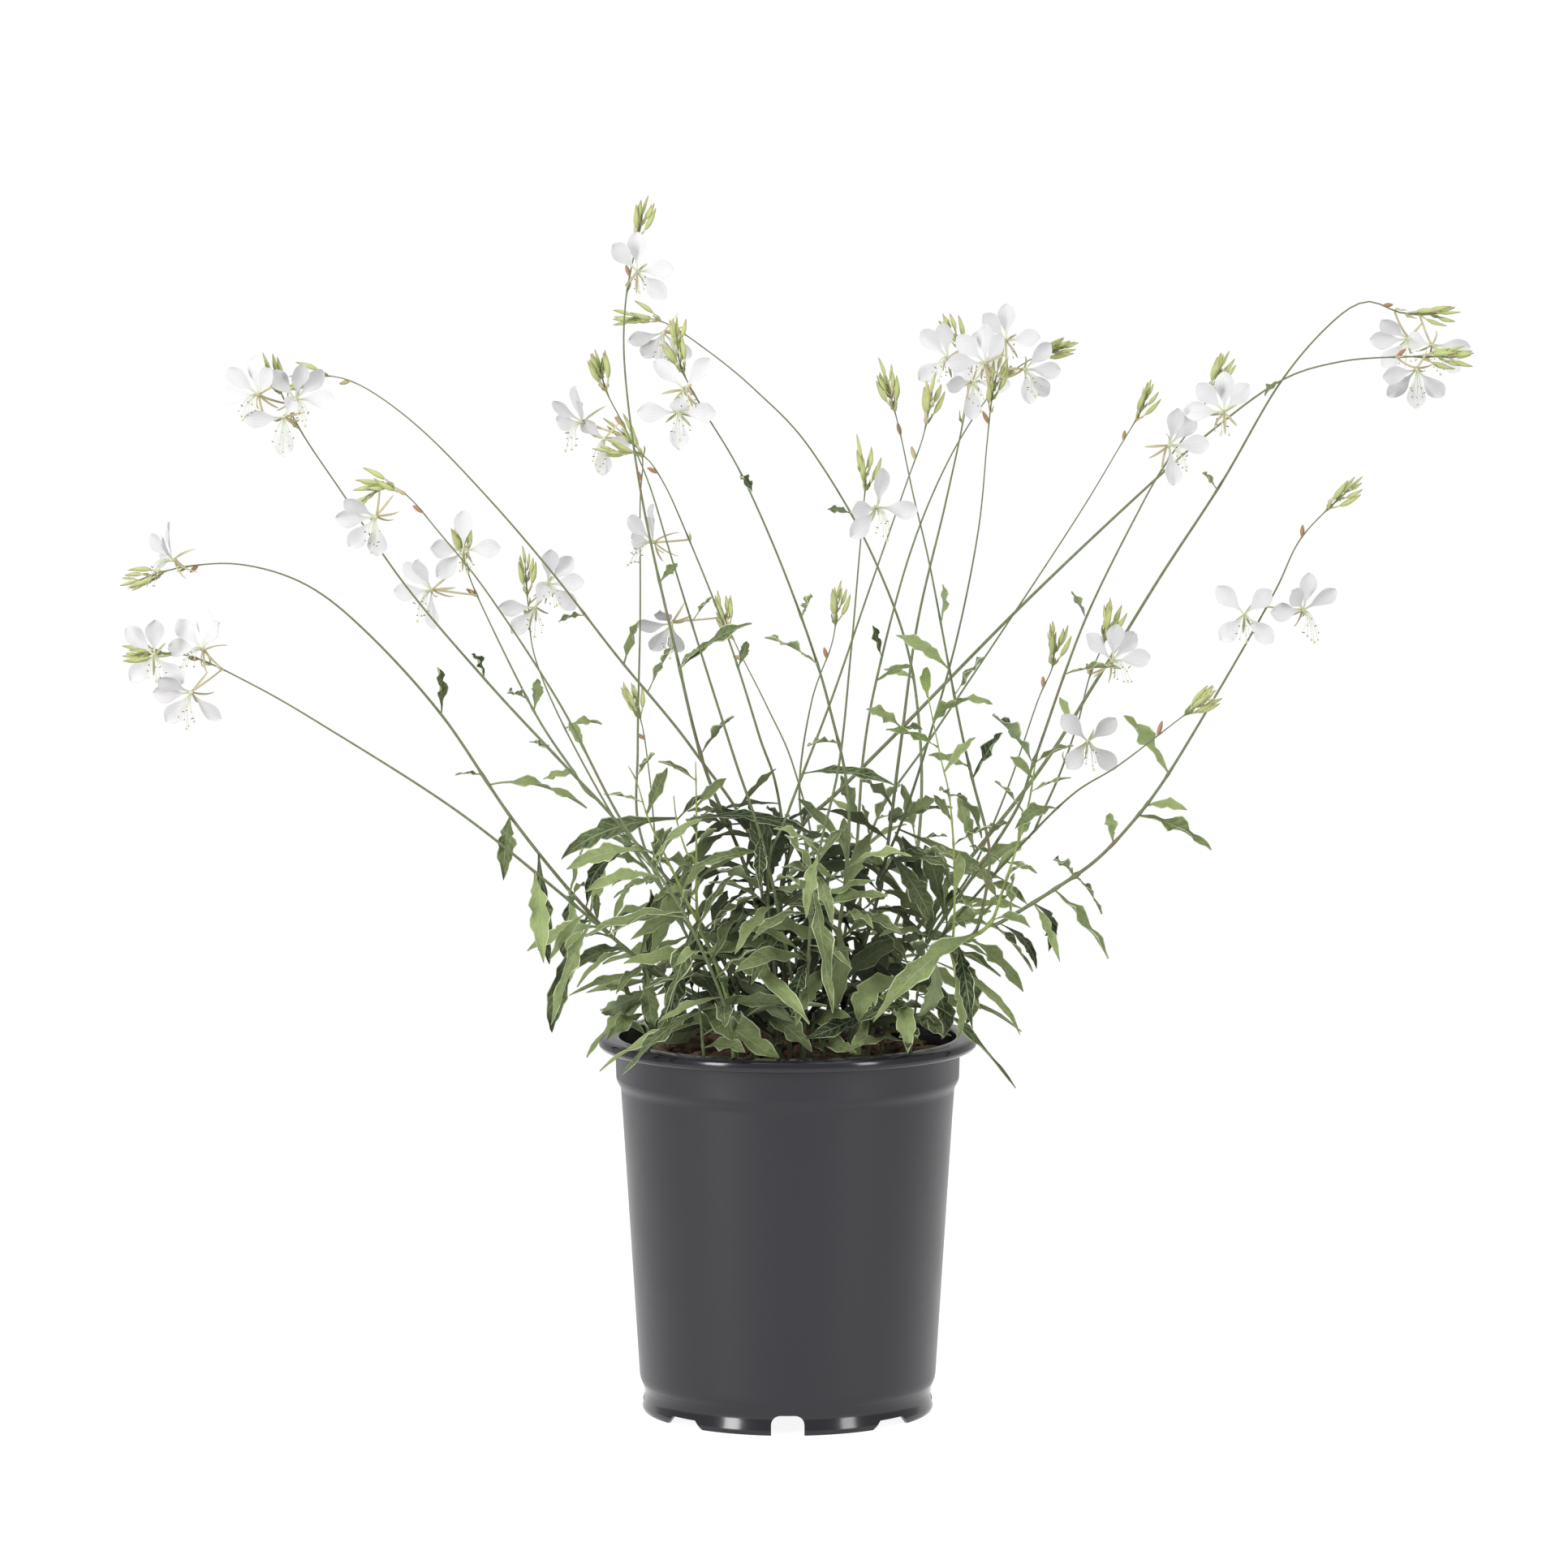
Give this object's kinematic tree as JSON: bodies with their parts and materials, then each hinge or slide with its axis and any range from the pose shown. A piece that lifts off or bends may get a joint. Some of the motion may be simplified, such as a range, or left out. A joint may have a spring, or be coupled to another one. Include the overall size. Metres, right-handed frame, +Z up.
{
  "type": "potted gaura",
  "caption": "Potted gaura: wiry arching stems with narrow leaves and white four-petalled blooms, in a round plain nursery pot.",
  "frame": {"origin": "on the floor under the middle of the pot", "axes": "+Z up, -Y towards the viewer of the picture, +X to the right of that view"},
  "size_m": [0.5922, 0.3239, 0.5273],
  "materials": {
    "pot_plastic": "satin charcoal moulded plastic",
    "potting_mix": "damp potting mix of bark and peat",
    "green_stem": "grey-green stems, buds and leaves",
    "young_green": "yellow-green young shoots and leaves",
    "white_petal": "soft white petals"
  },
  "bodies": {
    "root": {"basal_back": "green_stem", "basal_front": "green_stem", "basal_left": "green_stem", "basal_right": "green_stem", "bloom_01": "white_petal", "bloom_02": "white_petal", "bloom_03": "white_petal", "bloom_04": "white_petal", "bloom_05": "white_petal", "bloom_06": "white_petal", "bloom_07": "white_petal", "bloom_08": "white_petal", "bloom_09": "white_petal", "bloom_10": "white_petal", "bloom_11": "white_petal", "bloom_12": "white_petal", "bloom_13": "white_petal", "bloom_14": "white_petal", "bloom_15": "white_petal", "bloom_16": "white_petal", "bloom_17": "white_petal", "bloom_18": "white_petal", "bloom_19": "white_petal", "bloom_20": "white_petal", "bloom_21": "white_petal", "bloom_22": "white_petal", "bloom_23": "white_petal", "bloom_24": "white_petal", "bloom_25": "white_petal", "bloom_26": "white_petal", "bloom_27": "white_petal", "bloom_28": "white_petal", "bloom_29": "white_petal", "bloom_30": "white_petal", "pot": "pot_plastic", "shoot_left": "young_green", "shoot_right": "young_green", "soil": "potting_mix", "stem_back_arch": "green_stem", "stem_back_left": "green_stem", "stem_back_right": "green_stem", "stem_back_short": "green_stem", "stem_back_tall": "green_stem", "stem_front_arch": "green_stem", "stem_front_short": "green_stem", "stem_front_tall": "green_stem", "stem_high_arch": "green_stem", "stem_hooked": "green_stem", "stem_left_arch": "green_stem", "stem_low_left": "green_stem", "stem_middle": "green_stem", "stem_nodding": "green_stem", "stem_right_arch": "green_stem", "stem_right_long": "green_stem", "stem_right_low": "green_stem", "stem_right_thin": "green_stem", "stem_right_upright": "green_stem", "stem_tall": "green_stem", "stem_upper_left": "green_stem", "stem_upright": "green_stem"}
  },
  "joints": []
}
